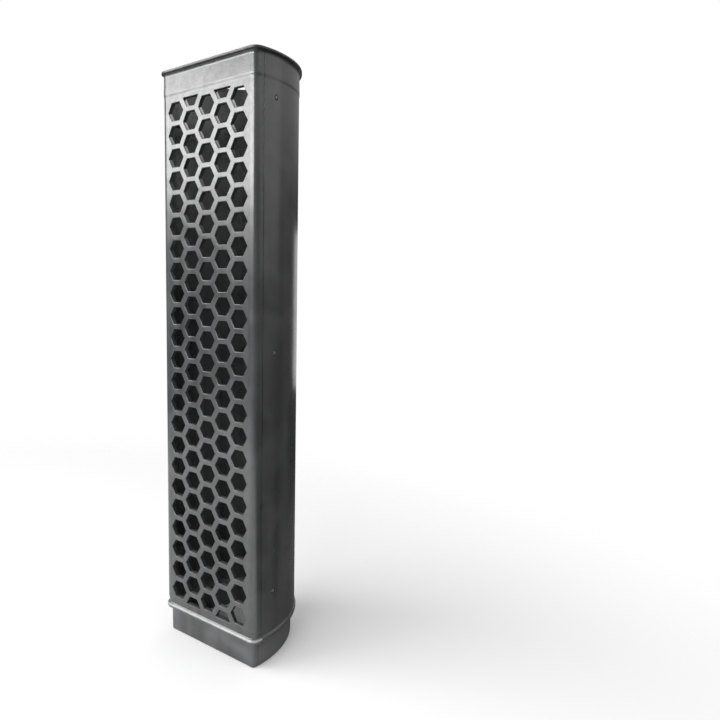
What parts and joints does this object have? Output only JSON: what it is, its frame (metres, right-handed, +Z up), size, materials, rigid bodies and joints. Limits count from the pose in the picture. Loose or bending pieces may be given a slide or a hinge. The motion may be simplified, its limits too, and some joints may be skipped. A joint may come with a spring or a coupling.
{
  "type": "plant support pole",
  "caption": "Stackable D-shaped plant support pole: honeycomb front panel snapped into a solid curved shell, with a spigot at the foot and a socket at the head.",
  "frame": {"origin": "middle of the part's box, on the ground under the end of the spigot", "axes": "+Z up along the pole, -Y out of the honeycomb front, +X to the right of a viewer who faces the honeycomb"},
  "size_m": [0.0876, 0.0816, 0.391],
  "materials": {
    "black_plastic": "injection-moulded polypropylene, near black, smooth with a satin gloss"
  },
  "bodies": {
    "shell": {"rear_shell": "black_plastic"},
    "panel": {"front_panel": "black_plastic", "snap_clip_left_1": "black_plastic", "snap_clip_left_2": "black_plastic", "snap_clip_left_3": "black_plastic", "snap_clip_right_1": "black_plastic", "snap_clip_right_2": "black_plastic", "snap_clip_right_3": "black_plastic"}
  },
  "joints": [
    {"name": "panel_pull_off", "type": "slide", "parent": "shell", "child": "panel", "axis": [0, -1, 0], "range_m": [0, 0.06], "deforming": ["snap_clip_left_1", "snap_clip_left_2", "snap_clip_left_3", "snap_clip_right_1", "snap_clip_right_2", "snap_clip_right_3"]}
  ]
}
